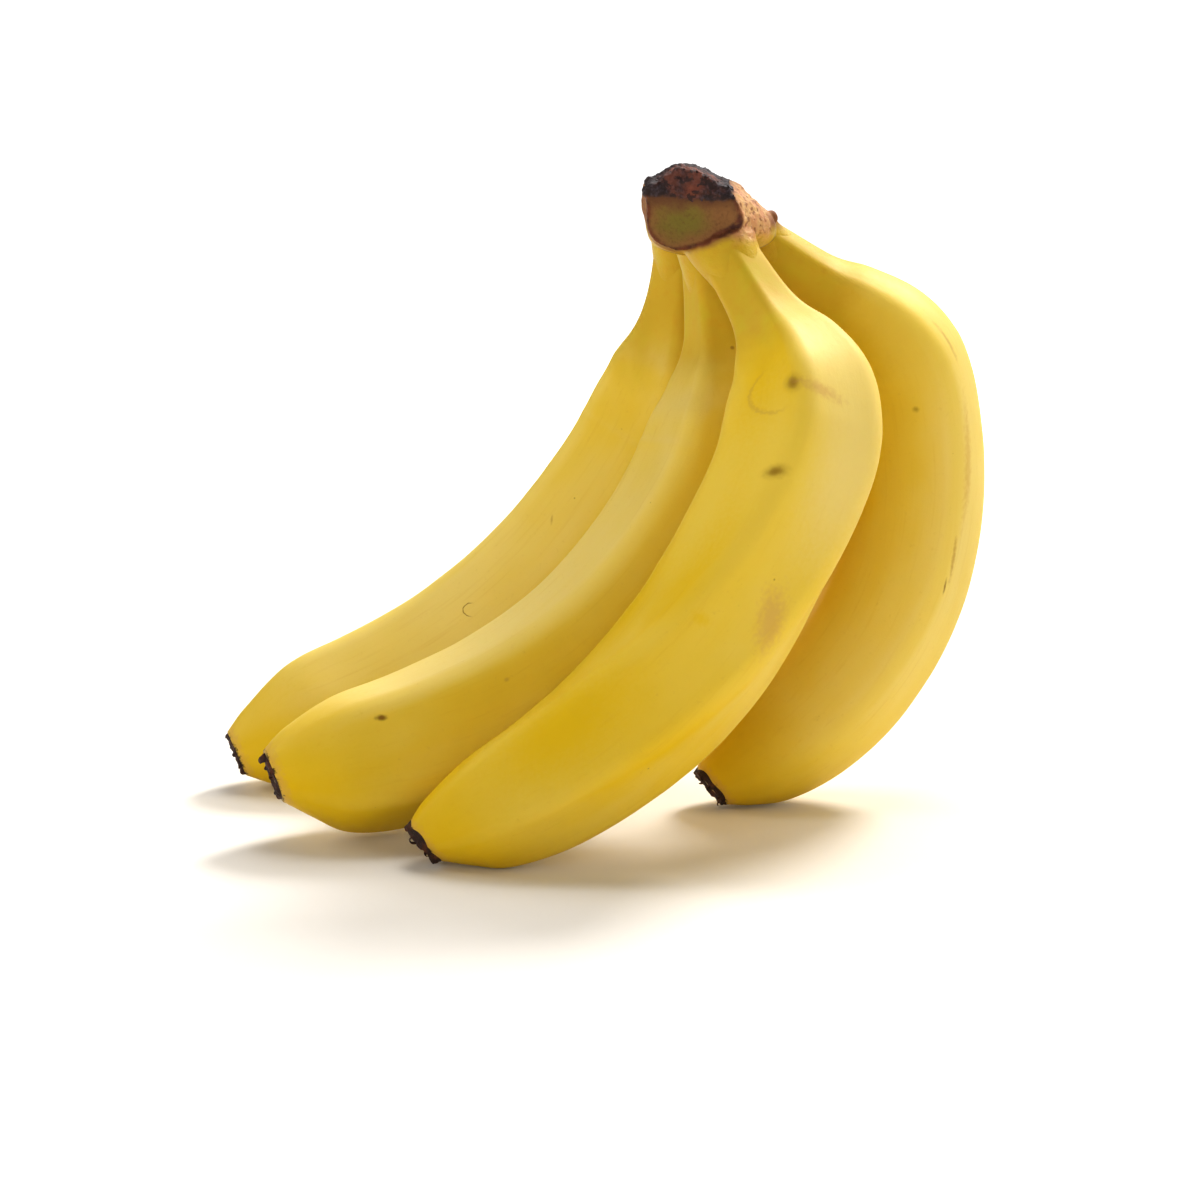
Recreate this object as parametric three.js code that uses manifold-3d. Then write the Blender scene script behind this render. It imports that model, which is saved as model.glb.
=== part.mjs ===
// A bunch of four bananas that share one crown, resting unheld on the lower sides of its fingers.
// Millimetres, +Z up. The origin is on the surface, under the middle of the bunch.
// Each finger is a turned (lathe) shape bent along its own centre line; the crown is lofted from a few
// ovals, and the finger necks are cut out of it, so that every piece stays a solid of its own.

import * as THREE from 'three';
import { mergeVertices } from 'three/addons/utils/BufferGeometryUtils.js';
import Module from 'manifold-3d';

const wasm = await Module();
wasm.setup();

// ---- Driving dimensions -------------------------------------------------------------------------

// The crown's middle, at the height where the finger necks start.
const CROWN_AT = [28.3, 14.9, 150];

// Each finger starts at its foot, measured from the crown's middle. It slopes sideways by `lean`
// millimetres (X, Y) for each millimetre that it drops. First its neck and then its body turn by the
// given degrees towards `heading`, an angle on the ground counted from +X. `ridge` is the angle
// of its first ridge, counted round the finger from the inside of the bend.
const FINGERS = [
  {
    foot: [-5.8, 15.3, 0.2],
    lean: [-0.05, 0.28],
    heading: 199,
    neckTurn: 29,
    bodyTurn: 48,
    length: 206,
    girth: 40.2,
    ridge: 0,
  },
  {
    foot: [-0.8, -2.5, -0.9],
    lean: [0.16, -0.09],
    heading: 193,
    neckTurn: 35.5,
    bodyTurn: 56.5,
    length: 205.5,
    girth: 41.2,
    ridge: -20,
  },
  {
    foot: [0.9, -17.6, -2.0],
    lean: [0.6, -0.6],
    heading: 166,
    neckTurn: 46,
    bodyTurn: 49.5,
    length: 197,
    girth: 37.0,
    ridge: 18,
  },
  {
    foot: [8.0, 9.5, -1.5],
    lean: [1.46, 0.24],
    heading: 193,
    neckTurn: 41,
    bodyTurn: 75.5,
    length: 187,
    girth: 37.8,
    ridge: -20,
  },
];

// Outline of a finger: share of its length, and share of its largest radius there.
const OUTLINE = [
  [0, 0.36], [0.121, 0.44], [0.181, 0.70], [0.232, 0.91], [0.28, 0.985], [0.33, 1],
  [0.57, 0.99], [0.69, 0.97], [0.805, 0.925], [0.909, 0.77], [0.967, 0.53], [1, 0.31],
];

const NECK_BEND = [0.14, 0.37];   // shares of the length between which the neck turns
const BODY_BEND = [0.235, 1];     // shares of the length over which the body turns
const EVEN_TURN = 0.15;           // share of the body's turn that is spread evenly
const RIDGE_COUNT = 5;
const RIDGE_RISE = 0.02;          // height of the ridges, as a share of the radius

// Crown: ovals from its underside to its dried top. rise is the height above the finger feet.
const CROWN_OVALS = [
  { rise: -7, left: -9, right: 13, front: -16, back: 18 },
  { rise: -3, left: -15, right: 16, front: -24, back: 24 },
  { rise: 2, left: -17, right: 16.5, front: -26.5, back: 26 },
  { rise: 7, left: -17, right: 12, front: -26, back: 26 },
  { rise: 12, left: -16, right: 6, front: -23, back: 24 },
  { rise: 16, left: -10, right: -1, front: -15, back: 18 },
];

// Dried flower remnant: distance beyond the finger's tip, and radius there.
const STUB_OUTLINE = [[0, 5.3], [0.9, 5.7], [2.2, 4.6], [3.1, 2.0]];

const GAP = 0.3;                  // clearance between touching pieces
const SEAT_DEPTH = 24;            // length of neck that the crown is cut back from

const FINGER_SIDES = 25;
const FINGER_RINGS = 30;
const CROWN_SIDES = 20;
const STUB_SIDES = 15;
const LINE_STEPS = 240;

const MATERIALS = {
  skin: new THREE.MeshStandardMaterial({ color: 0xe3bd2c, roughness: 0.5, metalness: 0 }),
  crown: new THREE.MeshStandardMaterial({ color: 0x4c3520, roughness: 0.85, metalness: 0 }),
  stub: new THREE.MeshStandardMaterial({ color: 0x2a1910, roughness: 0.95, metalness: 0 }),
};

// ---- Centre line of a finger --------------------------------------------------------------------

// The direction that a finger leaves the crown in, and the level direction that it bends towards.
function bendPlane(finger) {
  const away = new THREE.Vector3(finger.lean[0], finger.lean[1], -1).normalize();
  const angle = THREE.MathUtils.degToRad(finger.heading);
  const towards = new THREE.Vector3(Math.cos(angle), Math.sin(angle), 0);
  towards.addScaledVector(away, -towards.dot(away)).normalize();
  return { away, towards, across: new THREE.Vector3().crossVectors(towards, away) };
}

// How far the finger has turned at a share of its length, in radians.
function turnAt(finger, share) {
  const neck = THREE.MathUtils.smoothstep(share, ...NECK_BEND);
  const bodyShare = THREE.MathUtils.clamp(THREE.MathUtils.inverseLerp(...BODY_BEND, share), 0, 1);
  const body = THREE.MathUtils.lerp(THREE.MathUtils.smoothstep(share, ...BODY_BEND), bodyShare, EVEN_TURN);
  return THREE.MathUtils.degToRad(finger.neckTurn * neck + finger.bodyTurn * body);
}

// Points along the finger at equal steps, each with the frame of the bend there.
function centreLine(finger) {
  const { away, towards, across } = bendPlane(finger);
  const step = finger.length / LINE_STEPS;
  const point = new THREE.Vector3(...CROWN_AT).add(new THREE.Vector3(...finger.foot));
  const stations = [];
  for (let i = 0; i <= LINE_STEPS; i += 1) {
    const turn = turnAt(finger, i / LINE_STEPS);
    const along = away.clone().multiplyScalar(Math.cos(turn)).addScaledVector(towards, Math.sin(turn));
    const inward = towards.clone().multiplyScalar(Math.cos(turn)).addScaledVector(away, -Math.sin(turn));
    stations.push({ point: point.clone(), along, inward, across });
    point.addScaledVector(along, step);
  }
  return stations;
}

// The station at a distance from the foot; before the foot and past the tip the line runs straight.
function stationAt(finger, stations, distance) {
  const step = finger.length / LINE_STEPS;
  const index = THREE.MathUtils.clamp(Math.round(distance / step), 0, LINE_STEPS);
  const station = stations[index];
  const point = station.point.clone().addScaledVector(station.along, distance - index * step);
  return { ...station, point };
}

// ---- Shapes -------------------------------------------------------------------------------------

// Round outline points, a lathe profile that starts and ends on the axis.
function closedProfile(points) {
  const first = new THREE.Vector2(0, points[0].y);
  const last = new THREE.Vector2(0, points[points.length - 1].y);
  return [first, ...points, last];
}

// The finger's outline in millimetres, its radius grown by `extra`, up to a distance from the foot.
function fingerOutline(finger, extra, rings, end) {
  const radius = finger.girth / 2;
  const corners = OUTLINE.map(([share, girth]) => new THREE.Vector2(girth * radius, share * finger.length));
  const curve = new THREE.SplineCurve(corners);
  const points = curve.getSpacedPoints(rings).filter((point) => point.y <= end);
  return points.map((point) => new THREE.Vector2(point.x + extra, point.y));
}

// A lathe shape whose axis follows the finger's centre line, with the finger's ridges on it.
function bendAlong(finger, profile, sides, ridgeRise) {
  const geometry = new THREE.LatheGeometry(profile, sides);
  const stations = centreLine(finger);
  const firstRidge = THREE.MathUtils.degToRad(finger.ridge);
  const position = geometry.attributes.position;
  for (let i = 0; i < position.count; i += 1) {
    const angle = Math.atan2(position.getZ(i), position.getX(i));
    const swell = 1 + ridgeRise * Math.cos(RIDGE_COUNT * (angle - firstRidge));
    const { point, inward, across } = stationAt(finger, stations, position.getY(i));
    point.addScaledVector(inward, position.getX(i) * swell);
    point.addScaledVector(across, position.getZ(i) * swell);
    position.setXYZ(i, point.x, point.y, point.z);
  }
  return bareMesh(geometry);
}

// Positions only, shared between faces, with the flat slivers at the poles left out.
function bareMesh(geometry) {
  geometry.deleteAttribute('normal');
  geometry.deleteAttribute('uv');
  const merged = mergeVertices(geometry);
  const corners = merged.index.array;
  const kept = [];
  for (let i = 0; i < corners.length; i += 3) {
    const [a, b, c] = corners.slice(i, i + 3);
    if (a !== b && b !== c && c !== a) {
      kept.push(a, b, c);
    }
  }
  merged.setIndex(kept);
  return merged;
}

function toSolid(geometry) {
  const mesh = new wasm.Mesh({
    numProp: 3,
    vertProperties: new Float32Array(geometry.attributes.position.array),
    triVerts: new Uint32Array(geometry.index.array),
  });
  return new wasm.Manifold(mesh);
}

function toGeometry(solid) {
  const mesh = solid.getMesh();
  const geometry = new THREE.BufferGeometry();
  geometry.setAttribute('position', new THREE.BufferAttribute(new Float32Array(mesh.vertProperties), 3));
  geometry.setIndex(new THREE.BufferAttribute(new Uint32Array(mesh.triVerts), 1));
  return geometry;
}

// ---- Pieces -------------------------------------------------------------------------------------

function fingerShape(finger) {
  const outline = fingerOutline(finger, 0, FINGER_RINGS, finger.length);
  return bendAlong(finger, closedProfile(outline), FINGER_SIDES, RIDGE_RISE);
}

// The room that the crown leaves for a finger's neck.
function neckSeat(finger) {
  const outline = fingerOutline(finger, GAP, FINGER_RINGS, SEAT_DEPTH);
  const mouth = new THREE.Vector2(outline[0].x, -GAP);
  return bendAlong(finger, closedProfile([mouth, ...outline]), FINGER_SIDES, RIDGE_RISE);
}

function stubShape(finger) {
  const base = finger.length + GAP;
  const outline = STUB_OUTLINE.map(([beyond, radius]) => new THREE.Vector2(radius, base + beyond));
  return bendAlong(finger, closedProfile(outline), STUB_SIDES, RIDGE_RISE);
}

// A unit lathe whose rings are stretched to the crown's ovals.
function crownBlock() {
  const rings = CROWN_OVALS.map((oval, i) => new THREE.Vector2(1, i));
  const geometry = new THREE.LatheGeometry(closedProfile(rings), CROWN_SIDES);
  const position = geometry.attributes.position;
  for (let i = 0; i < position.count; i += 1) {
    const oval = CROWN_OVALS[Math.round(position.getY(i))];
    const x = THREE.MathUtils.lerp(oval.left, oval.right, (1 + position.getX(i)) / 2);
    const y = THREE.MathUtils.lerp(oval.back, oval.front, (1 + position.getZ(i)) / 2);
    position.setXYZ(i, CROWN_AT[0] + x, CROWN_AT[1] + y, CROWN_AT[2] + oval.rise);
  }
  return bareMesh(geometry);
}

function crownShape() {
  let crown = toSolid(crownBlock());
  for (const finger of FINGERS) {
    crown = crown.subtract(toSolid(neckSeat(finger)));
  }
  return toGeometry(crown);
}

// ---- Assembly -----------------------------------------------------------------------------------

function piece(name, geometry, material) {
  const mesh = new THREE.Mesh(geometry, material);
  mesh.name = name;
  return mesh;
}

const bunch = new THREE.Group();
bunch.add(piece('crown', crownShape(), MATERIALS.crown.clone()));
FINGERS.forEach((finger, i) => {
  bunch.add(piece(`banana_${i + 1}`, fingerShape(finger), MATERIALS.skin.clone()));
  bunch.add(piece(`flower_stub_${i + 1}`, stubShape(finger), MATERIALS.stub.clone()));
});

export default bunch;
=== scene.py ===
# %% [markdown]
# # A bunch of bananas
#
# Four fingers of fruit grow from one woody crown. Their necks run down out of it, bend together, and
# spread into a bunch that stands by itself on the lower sides of three fingers. The imported model says
# where every piece is. This script gives each one its real surface: the soft ridges of the peel, the
# dried crown with its old cut, and the black flower remains at the tips.
#
# Lengths are in metres, +Z is up, and the origin is on the table under the middle of the bunch.

# %% The frame and its parts
import math

import bmesh
import bpy
import numpy as np
from mathutils import Matrix, Vector, noise


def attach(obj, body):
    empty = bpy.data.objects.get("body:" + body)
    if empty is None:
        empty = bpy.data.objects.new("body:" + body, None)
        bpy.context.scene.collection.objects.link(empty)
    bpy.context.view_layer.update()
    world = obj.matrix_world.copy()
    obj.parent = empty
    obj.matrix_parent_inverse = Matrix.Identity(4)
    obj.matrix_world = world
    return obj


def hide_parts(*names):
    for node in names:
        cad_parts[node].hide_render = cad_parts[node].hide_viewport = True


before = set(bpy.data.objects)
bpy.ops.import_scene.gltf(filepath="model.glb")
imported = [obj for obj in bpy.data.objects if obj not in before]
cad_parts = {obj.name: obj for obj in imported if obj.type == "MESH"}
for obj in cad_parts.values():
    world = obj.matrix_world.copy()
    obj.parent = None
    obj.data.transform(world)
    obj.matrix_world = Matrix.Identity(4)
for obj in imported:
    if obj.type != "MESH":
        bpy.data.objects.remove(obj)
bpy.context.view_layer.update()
MM = 0.001
scene = bpy.context.scene
print("CAD nodes:", sorted(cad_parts))

# %% [markdown]
# ## The camera
#
# A small object is best seen from some distance with a long lens, so that near fingers don't look
# swollen. The camera looks slightly down on the bunch, along +Y.

# %% Camera
LOOK_AT = Vector((0.3, -1.1, 56.6)) * MM
CAMERA_DISTANCE = 718 * MM
CAMERA_ELEVATION = math.radians(9.46)


def make_camera():
    camera = bpy.data.objects.new("camera", bpy.data.cameras.new("camera"))
    scene.collection.objects.link(camera)
    camera.data.lens = 85
    camera.data.sensor_width = 36
    back = Vector((0, -math.cos(CAMERA_ELEVATION), math.sin(CAMERA_ELEVATION)))
    camera.location = LOOK_AT + back * CAMERA_DISTANCE
    camera.rotation_euler = (-back).to_track_quat("-Z", "Y").to_euler()
    camera.data.clip_start = 0.05
    camera.data.clip_end = 20
    return camera


scene.camera = make_camera()
print("camera at", [round(x, 3) for x in scene.camera.location])

# %% [markdown]
# ## Building node trees
#
# Geometry Nodes and materials are both trees of nodes. A few short methods that add a node, feed its
# inputs and hand back its output keep the trees below about as short as the formulas that they stand
# for.


# %% Node tree helper
class Graph:
    """Adds nodes to one tree. A value may be a plain number, a vector or another node's output."""

    def __init__(self, tree):
        self.tree = tree

    def feed(self, socket, value):
        if isinstance(value, bpy.types.NodeSocket):
            self.tree.links.new(value, socket)
        else:
            socket.default_value = value

    def feed_all(self, made, inputs):
        for key, value in inputs.items():
            self.feed(made.inputs[key], value)

    def node(self, kind, inputs=None, **settings):
        made = self.tree.nodes.new(kind)
        for name, value in settings.items():
            setattr(made, name, value)
        self.feed_all(made, inputs or {})
        return made

    def math(self, operation, *values):
        return self.node("ShaderNodeMath", dict(enumerate(values)), operation=operation).outputs[0]

    def vector(self, operation, *values):
        made = self.node("ShaderNodeVectorMath", dict(enumerate(values)), operation=operation)
        return made.outputs["Value" if operation in ("LENGTH", "DOT_PRODUCT") else "Vector"]

    def scaled(self, vector, scale):
        made = self.node("ShaderNodeVectorMath", {0: vector, "Scale": scale}, operation="SCALE")
        return made.outputs["Vector"]

    def combine(self, x, y, z):
        return self.node("ShaderNodeCombineXYZ", {0: x, 1: y, 2: z}).outputs[0]

    def split(self, vector):
        return self.node("ShaderNodeSeparateXYZ", {0: vector}).outputs

    def mix(self, share, first, second):
        return self.node("ShaderNodeMix", {0: share, 6: first, 7: second}, data_type="RGBA").outputs[2]

    def span(self, value, low, high, to_low=0.0, to_high=1.0):
        """Eases from to_low to to_high while value goes from low to high."""
        inputs = {0: value, 1: low, 2: high, 3: to_low, 4: to_high}
        return self.node("ShaderNodeMapRange", inputs, interpolation_type="SMOOTHSTEP").outputs[0]

    def noise(self, place, scale, detail=2.0, roughness=0.5, distortion=0.0):
        inputs = {
            "Vector": place, "Scale": scale, "Detail": detail, "Roughness": roughness,
            "Distortion": distortion,
        }
        return self.node("ShaderNodeTexNoise", inputs).outputs[0]

    def stray(self, value, chance, amount):
        """The value, moved up or down by up to half the amount as the noise `chance` says."""
        return self.math("MULTIPLY_ADD", self.math("SUBTRACT", chance, 0.5), amount, value)

    def bump(self, height, strength, depth):
        inputs = {"Strength": strength, "Distance": depth, "Height": height}
        return self.node("ShaderNodeBump", inputs).outputs[0]

    def place(self):
        return self.node("ShaderNodeTexCoord").outputs["Object"]

    def attribute(self, name, output="Fac"):
        """A value that the mesh carries, for a material."""
        return self.node("ShaderNodeAttribute", attribute_name=name).outputs[output]

    def stored(self, name):
        """A value that the mesh carries, for Geometry Nodes."""
        return self.node("GeometryNodeInputNamedAttribute", {"Name": name}, data_type="FLOAT").outputs[0]


def tone(red, green, blue):
    """A screen colour, 0 to 255, as the linear colour that shaders use."""
    screen = [value / 255 for value in (red, green, blue)]
    return (*[v / 12.92 if v <= 0.04045 else ((v + 0.055) / 1.055) ** 2.4 for v in screen], 1.0)


def new_material(name):
    """An empty material, its graph, and its surface shader."""
    material = bpy.data.materials.new(name)
    material.use_nodes = True
    graph = Graph(material.node_tree)
    shader = material.node_tree.nodes["Principled BSDF"]
    return material, graph, shader


def new_tree(name, **inputs):
    """A Geometry Nodes group with the named inputs, and the nodes that hand them in and out."""
    tree = bpy.data.node_groups.new(name, "GeometryNodeTree")
    tree.interface.new_socket("Geometry", in_out="INPUT", socket_type="NodeSocketGeometry")
    tree.interface.new_socket("Geometry", in_out="OUTPUT", socket_type="NodeSocketGeometry")
    for label, kind in inputs.items():
        tree.interface.new_socket(label.replace("_", " "), in_out="INPUT", socket_type=f"NodeSocket{kind}")
    graph = Graph(tree)
    return graph, graph.node("NodeGroupInput").outputs, graph.node("NodeGroupOutput").inputs


def run_tree(piece, tree, **values):
    """Runs a tree on a piece with these input values, and keeps the result as its plain mesh."""
    modifier = piece.modifiers.new(tree.name, "NODES")
    modifier.node_group = tree
    for item in tree.interface.items_tree:
        key = item.name.replace(" ", "_")
        if item.in_out == "INPUT" and key in values:
            modifier[item.identifier] = values[key]
    keep_result(piece)


def keep_result(piece):
    """Replaces a piece's mesh with what its modifiers make of it, and removes them."""
    depsgraph = bpy.context.evaluated_depsgraph_get()
    result = bpy.data.meshes.new_from_object(
        piece.evaluated_get(depsgraph), preserve_all_data_layers=True, depsgraph=depsgraph
    )
    piece.modifiers.clear()
    piece.data = result
    result.name = piece.name


def new_piece(name, points, edges=(), faces=()):
    mesh = bpy.data.meshes.new(name)
    mesh.from_pydata([tuple(point) for point in points], edges, faces)
    piece = bpy.data.objects.new(name, mesh)
    scene.collection.objects.link(piece)
    return piece


def mesh_values(layer, name):
    """A vector of every point of a mesh, such as its place or its normal."""
    values = np.zeros(len(layer) * 3)
    layer.foreach_get(name, values)
    return values.reshape(-1, 3)


def keep_values(mesh, name, values):
    """Stores a number for every point of a mesh, for the node trees to read."""
    layer = mesh.attributes.new(name, "FLOAT", "POINT")
    layer.data.foreach_set("value", values.astype(np.float32))


# %% [markdown]
# ## The fingers' shape
#
# A banana is straight at its neck and then curves up towards the light. Its path is worked out as
# the CAD model does it: the finger leaves the crown in one direction, and turns in one plane, first at
# its neck and then along its body. A list of girths along the path gives the bottle shape, with a
# smooth curve through them.

# %% Driving dimensions, in millimetres and degrees as on the CAD model
# foot: where a finger leaves the crown, from the crown's middle. lean: how far it goes sideways, along
# X and Y, for each millimetre that it drops. heading: where it bends to, counted from +X.
# neck_turn, body_turn: how far it bends there. ridge: its first ridge, counted from the inside of the
# bend; the ridges turn by `twist` on their way to the tip. sharpness: how clear they are.
# flare: how far the crown spreads onto its neck. fuller: where it is thicker than the common outline,
# by how much, and over how long a stretch, all as shares. slant: how much its tip is cut askew.
# scar: how high the rim stands there. light_side: the direction from which its peel is painted as lit,
# paler and cream as a painted sheen on that side, and deeper yellow as painted shade away from it.
CROWN_AT = np.array([28.3, 14.9, 150.0])
FINGERS = [
    dict(foot=(-5.8, 15.3, 0.2), lean=(-0.05, 0.28), heading=199, neck_turn=29, body_turn=48,
         length=206, girth=40.2, ridge=-8, twist=-6, sharpness=1.1, flare=2.0,
         fuller=((0.90, 0.12, 0.07), (0.155, 0.165, 0.055)), slant=7, scar=1.0,
         light_side=(-0.35, -0.35, 0.87)),
    dict(foot=(-0.8, -2.5, -0.9), lean=(0.16, -0.09), heading=193, neck_turn=35.5, body_turn=56.5,
         length=205.5, girth=41.2, ridge=-20, twist=-6, sharpness=1.1, flare=1.6,
         fuller=((0.93, 0.10, 0.07),), slant=13, scar=1.0, light_side=(-0.35, -0.35, 0.87)),
    dict(foot=(0.9, -17.6, -2.0), lean=(0.6, -0.6), heading=166, neck_turn=46, body_turn=49.5,
         length=197, girth=37.0, ridge=24, twist=-44, sharpness=1.1, flare=2.2,
         fuller=((0.78, -0.03, 0.07),), slant=16, scar=2.0, light_side=(0.55, -0.45, 0.70)),
    dict(foot=(8.0, 9.5, -1.5), lean=(1.46, 0.24), heading=193, neck_turn=41, body_turn=75.5,
         length=187, girth=37.8, ridge=-36, twist=-8, sharpness=0.65, flare=1.2,
         fuller=((0.20, -0.14, 0.07),), slant=8, scar=1.2, light_side=(0.60, -0.75, 0.40)),
]
OUTLINE = np.array([
    [0, 0.36], [0.121, 0.44], [0.181, 0.70], [0.232, 0.91], [0.28, 0.985], [0.33, 1],
    [0.57, 0.99], [0.69, 0.97], [0.805, 0.925], [0.909, 0.77], [0.967, 0.53], [1, 0.31],
])
NECK_BEND = (0.14, 0.37)
BODY_BEND = (0.235, 1)
EVEN_TURN = 0.15
LINE_STEPS = 240


# %% Centre lines
def ease(value, low=0.0, high=1.0):
    share = np.clip((value - low) / (high - low), 0, 1)
    return share * share * (3 - 2 * share)


def smooth_curve(corners, steps=24, closed=False):
    """Points on the smooth (Catmull-Rom) curve through the corners."""
    corners = np.asarray(corners, float)
    ends = (corners[-1:], corners[:2]) if closed else (corners[:1], corners[-1:])
    padded = np.vstack([ends[0], corners, ends[1]])
    t = np.linspace(0, 1, steps, endpoint=False)[:, None]
    runs = []
    for a, b, c, d in zip(padded, padded[1:], padded[2:], padded[3:]):
        pull = 2 * a - 5 * b + 4 * c - d
        runs.append(0.5 * (2 * b + (c - a) * t + pull * t**2 + (3 * b - a - 3 * c + d) * t**3))
    return np.vstack(runs if closed else [*runs, corners[-1:]])


def unit(vector):
    return vector / np.linalg.norm(vector)


def girth_at(share):
    """A finger's radius at a share of its length, as a share of its largest radius."""
    curve = smooth_curve(OUTLINE)
    return np.interp(share, curve[:, 0], curve[:, 1])


def centre_line(finger):
    """The finger's path: its points, their directions, and the direction across its bend."""
    away = unit(np.array([*finger["lean"], -1.0]))
    heading = math.radians(finger["heading"])
    level = np.array([math.cos(heading), math.sin(heading), 0.0])
    towards = unit(level - away * (level @ away))
    share = np.linspace(0, 1, LINE_STEPS + 1)
    even = np.clip((share - BODY_BEND[0]) / (BODY_BEND[1] - BODY_BEND[0]), 0, 1)
    body = ease(share, *BODY_BEND) * (1 - EVEN_TURN) + even * EVEN_TURN
    turn = np.radians(finger["neck_turn"] * ease(share, *NECK_BEND) + finger["body_turn"] * body)
    along = np.cos(turn)[:, None] * away + np.sin(turn)[:, None] * towards
    steps = along[:-1] * finger["length"] / LINE_STEPS
    start = CROWN_AT + np.array(finger["foot"])
    points = start + np.vstack([np.zeros(3), np.cumsum(steps, axis=0)])
    return points * MM, along, np.cross(towards, away)


for number, finger in enumerate(FINGERS, 1):
    tip = centre_line(finger)[0][-1]
    print(f"finger {number}: tip at", (tip / MM).round(1), "mm")

# %% [markdown]
# ## The peel
#
# The peel of a banana is a long skin with five soft ridges, where the five leaves of the fruit grew
# together. A tube swept along the path could do it, but a curve's own tube has round ends and no
# ridges. So Geometry Nodes wrap a flat grid of points round the path instead: one side of the grid
# runs along the finger, the other goes round it. The same tree makes all four fingers.
#
# The tree also stores, for the material, where each point was on a straightened finger. Streaks and
# spots then follow the fruit round its bend without a seam.


# %% The section: a pentagon with round corners, so flat faces between five ridges
RIDGES = 5
FACE_ANGLE = math.tau / RIDGES
CORNER_RADIUS = 0.34    # of the section's rounded corners, as a share of the finger's radius
CORNER_REACH = 0.73     # from the section's middle to a corner's middle, as the same share
FLAT_REACH = CORNER_REACH * math.cos(FACE_ANGLE / 2) + CORNER_RADIUS
MEAN_REACH = 0.99       # the section's mean radius, as the same share
UNEVEN_FACES = 0.07     # how far the ridges stand from even places, in radians


def angle_from_ridge(graph, angle, share, given):
    """The angle to the nearest ridge. The ridges turn along the finger, and no two faces are alike."""
    twisted = graph.math("MULTIPLY_ADD", given["Twist"], graph.span(share, 0.3, 0.9), given["First Ridge"])
    from_ridge = graph.math("SUBTRACT", angle, twisted)
    uneven = graph.math("SINE", graph.math("ADD", from_ridge, graph.math("MULTIPLY", given["Seed"], 9.0)))
    from_ridge = graph.math("MULTIPLY_ADD", uneven, UNEVEN_FACES, from_ridge)
    return graph.math("PINGPONG", from_ridge, FACE_ANGLE / 2)


def pentagon_reach(graph, from_ridge):
    """How far the section reaches out at this angle from its nearest ridge."""
    sideways = graph.math("MULTIPLY", graph.math("SINE", from_ridge), CORNER_REACH)
    corner = graph.math("SUBTRACT", CORNER_RADIUS**2, graph.math("MULTIPLY", sideways, sideways))
    corner = graph.math("SQRT", graph.math("MAXIMUM", corner, 0.0))
    corner = graph.math("MULTIPLY_ADD", graph.math("COSINE", from_ridge), CORNER_REACH, corner)
    from_middle = graph.math("SUBTRACT", FACE_ANGLE / 2, from_ridge)
    flat = graph.math("DIVIDE", FLAT_REACH, graph.math("COSINE", from_middle))
    flat_end = math.atan2(CORNER_REACH * math.sin(FACE_ANGLE / 2), FLAT_REACH)
    on_flat = graph.math("LESS_THAN", from_middle, flat_end)
    return graph.math("MULTIPLY_ADD", on_flat, graph.math("SUBTRACT", flat, corner), corner)


def ridge_strength(graph, share, sharpness):
    """The ridges are strongest where the neck has widened, and almost gone at the tip."""
    strength = graph.math("MULTIPLY", graph.span(share, 0.0, 0.16, 0.6, 1.0), sharpness)
    strength = graph.math("MULTIPLY", strength, graph.span(share, 0.25, 0.55, 1.0, 0.8))
    return graph.math("MULTIPLY", strength, graph.span(share, 0.84, 1.0, 1.0, 0.2))


print("the section reaches", CORNER_REACH + CORNER_RADIUS, "at a ridge,", round(FLAT_REACH, 3), "between")

# %% The peel's node tree
HIDDEN_NECK = 0.022     # share of the length that stays unbuilt inside the crown
TIP_CUT_FROM = 0.92     # share of the length from which the tip's slant begins
MERGE_DISTANCE = 1e-5


def ring_shares(graph, flat, rings):
    """The share of the length at each ring, and 1 for an open ring but 0 for the two that close it."""
    last = graph.math("SUBTRACT", rings, 1)
    ring = graph.math("ROUND", graph.math("MULTIPLY", graph.math("ADD", flat[0], 0.5), last))
    share = graph.math("DIVIDE", graph.math("SUBTRACT", ring, 1), graph.math("SUBTRACT", last, 2))
    share = graph.node("ShaderNodeClamp", {"Value": share}).outputs[0]
    share = graph.math("MULTIPLY_ADD", share, 1 - HIDDEN_NECK, HIDDEN_NECK)
    from_end = graph.math("MINIMUM", ring, graph.math("SUBTRACT", last, ring))
    return share, graph.math("MINIMUM", from_end, 1)


def place_round_path(graph, sample, given, inwards, sideways, share):
    """Each point's place on the bent finger. The tip is cut askew: its inner side reaches further."""
    inward = graph.vector("NORMALIZE", graph.vector("CROSS_PRODUCT", sample["Tangent"], given["Across"]))
    offset = graph.vector("ADD", graph.scaled(inward, inwards), graph.scaled(given["Across"], sideways))
    slope = graph.math("TANGENT", given["Slant"])
    slope = graph.math("MULTIPLY", slope, graph.span(share, TIP_CUT_FROM, 1.0))
    further = graph.scaled(sample["Tangent"], graph.math("MULTIPLY", inwards, slope))
    return graph.vector("ADD", sample["Position"], graph.vector("ADD", offset, further))


def finished_skin(graph, skin, target, material):
    """Moves the grid's points to their places, closes its seam and gives it its material."""
    skin = graph.node("GeometryNodeSetPosition", {"Geometry": skin, "Position": target}).outputs[0]
    inputs = {"Geometry": skin, "Distance": MERGE_DISTANCE}
    skin = graph.node("GeometryNodeMergeByDistance", inputs).outputs[0]
    skin = graph.node("GeometryNodeSetShadeSmooth", {"Geometry": skin}).outputs[0]
    skin = graph.node("GeometryNodeRealizeInstances", {"Geometry": skin}).outputs[0]
    return graph.node("GeometryNodeSetMaterial", {"Geometry": skin, "Material": material}).outputs[0]


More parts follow.
